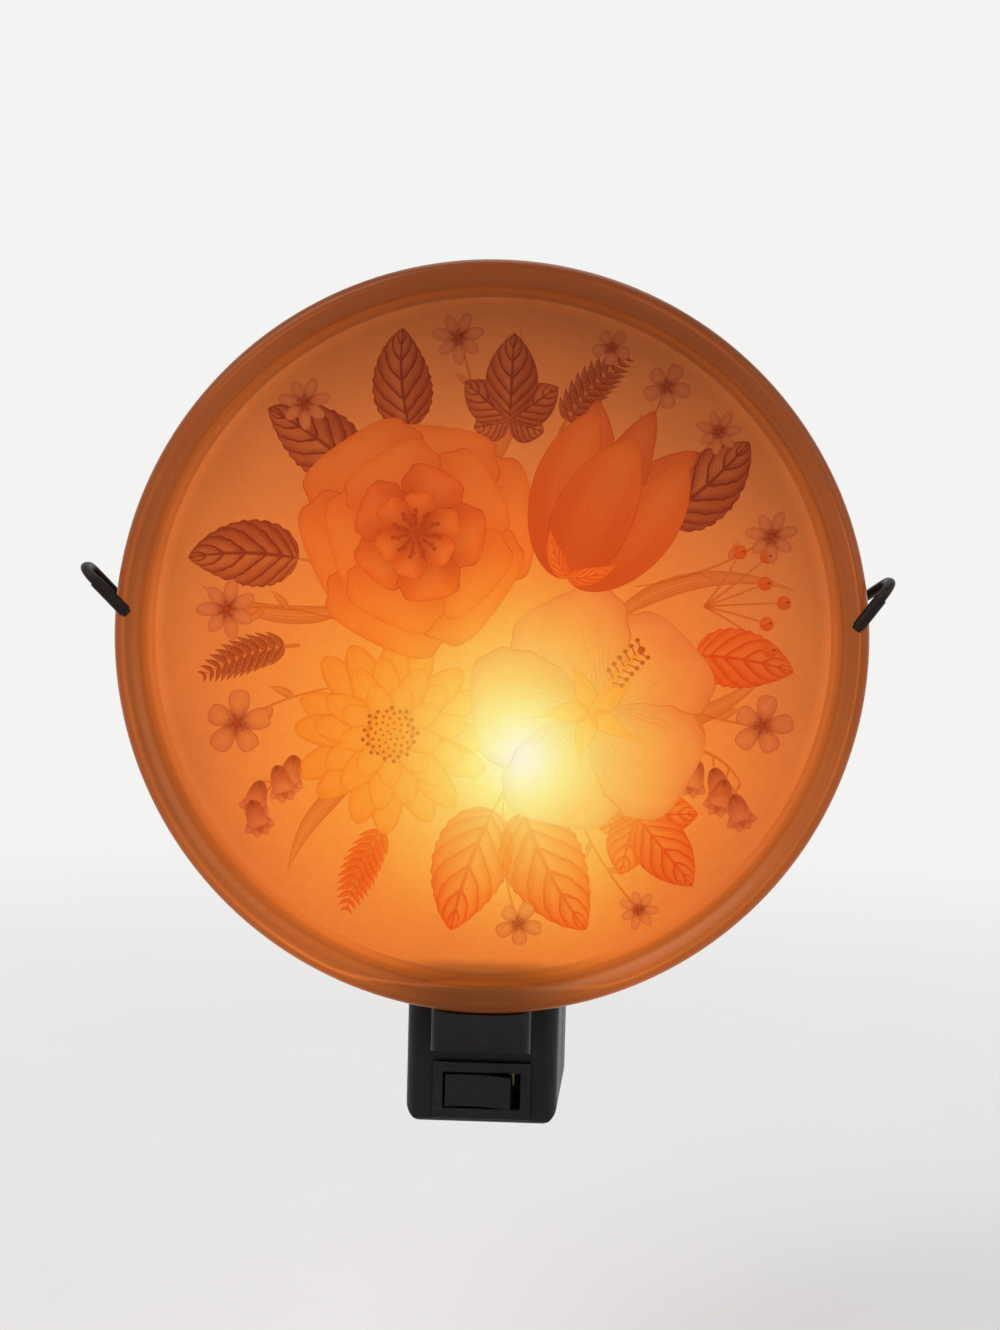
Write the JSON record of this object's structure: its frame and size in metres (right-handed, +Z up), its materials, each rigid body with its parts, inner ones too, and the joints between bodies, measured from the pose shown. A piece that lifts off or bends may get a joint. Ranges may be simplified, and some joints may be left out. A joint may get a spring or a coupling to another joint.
{
  "type": "plug-in night light",
  "caption": "Plug-in night light: a round, shallow pressed-glass dish with a printed floor, held upright by two wire hooks in front of a small black plug-in body and its bulb.",
  "frame": {"origin": "centre of the plug's rear face, on the plane of the outlet's cover, midway between the blades", "axes": "+Y into the outlet along the blades, +Z up towards the dish's top, +X to the right as the viewer sees it"},
  "size_m": [0.1292, 0.0633, 0.1415],
  "materials": {
    "black_plastic": "moulded black plastic, soft satin",
    "switch_plastic": "black plastic, glossier than the body",
    "blade_brass": "stamped brass",
    "contact_brass": "stamped brass, inside the body",
    "screw_steel": "zinc-plated steel",
    "phenolic": "brown laminate",
    "cream_insulator": "cream moulded insulator",
    "black_wire": "black-coated steel wire",
    "vinyl": "dark vinyl sleeve",
    "dark_lead": "insulated lead",
    "pale_lead": "insulated lead",
    "nylon": "natural nylon",
    "spring_steel": "bright wire",
    "lamp_glass": "clear lamp glass, lit",
    "plated_base": "rolled metal screw base",
    "black_glass": "black glass insulator",
    "solder": "solder",
    "filament": "glowing filament",
    "dish_glass": "pressed glass, faintly pink, lit warm from behind",
    "printed_film": "frosted print, glowing from the lamp behind"
  },
  "bodies": {
    "plug": {"swivel_disc": "black_plastic", "line_blade": "blade_brass", "neutral_blade": "blade_brass"},
    "lamp_base": {"rear_housing": "black_plastic", "front_housing": "black_plastic", "housing_screws": "screw_steel", "contact_plate": "phenolic", "outer_ring": "contact_brass", "inner_ring": "contact_brass", "lampholder_sleeve": "black_plastic", "lampholder_base": "cream_insulator", "screw_shell": "contact_brass", "centre_contact": "contact_brass", "wire_frame": "black_wire", "hook_sleeves": "vinyl", "switch_case": "switch_plastic", "common_terminal": "contact_brass", "line_terminal": "contact_brass", "line_lead": "dark_lead", "switched_lead": "dark_lead", "neutral_lead": "pale_lead"},
    "glass_shade": {"glass_dish": "dish_glass", "printed_film": "printed_film"},
    "bulb": {"bulb_glass": "lamp_glass", "bulb_screw_base": "plated_base", "bulb_insulator": "black_glass", "bulb_tip_contact": "solder", "bulb_stem": "lamp_glass", "bulb_lead_wires": "spring_steel", "bulb_filament": "filament"},
    "switch_rocker": {"rocker": "switch_plastic", "plunger": "nylon", "plunger_spring": "spring_steel"},
    "switch_lever": {"contact_lever": "contact_brass"}
  },
  "joints": [
    {"name": "plug_swivel", "type": "hinge", "parent": "plug", "child": "lamp_base", "pos_m": [0, 0, 0], "axis": [0, 1, 0], "range_deg": [-90, 90]},
    {"name": "shade_lift", "type": "slide", "parent": "lamp_base", "child": "glass_shade", "axis": [0, 0, 1], "range_m": [0, 0.075]},
    {"name": "bulb_out", "type": "slide", "parent": "lamp_base", "child": "bulb", "axis": [0, 0, 1], "range_m": [0, 0.02]},
    {"name": "rocker_tip", "type": "hinge", "parent": "lamp_base", "child": "switch_rocker", "pos_m": [0, -0.027, -0.0062], "axis": [0, 0, 1], "range_deg": [0, 14]},
    {"name": "lever_tip", "type": "hinge", "parent": "lamp_base", "child": "switch_lever", "pos_m": [0, -0.02159, -0.0062], "axis": [0, 0, 1], "range_deg": [-9.8, 0]}
  ],
  "couplings": [
    {"joint": "lever_tip", "follows": "rocker_tip", "ratio": -0.7}
  ]
}
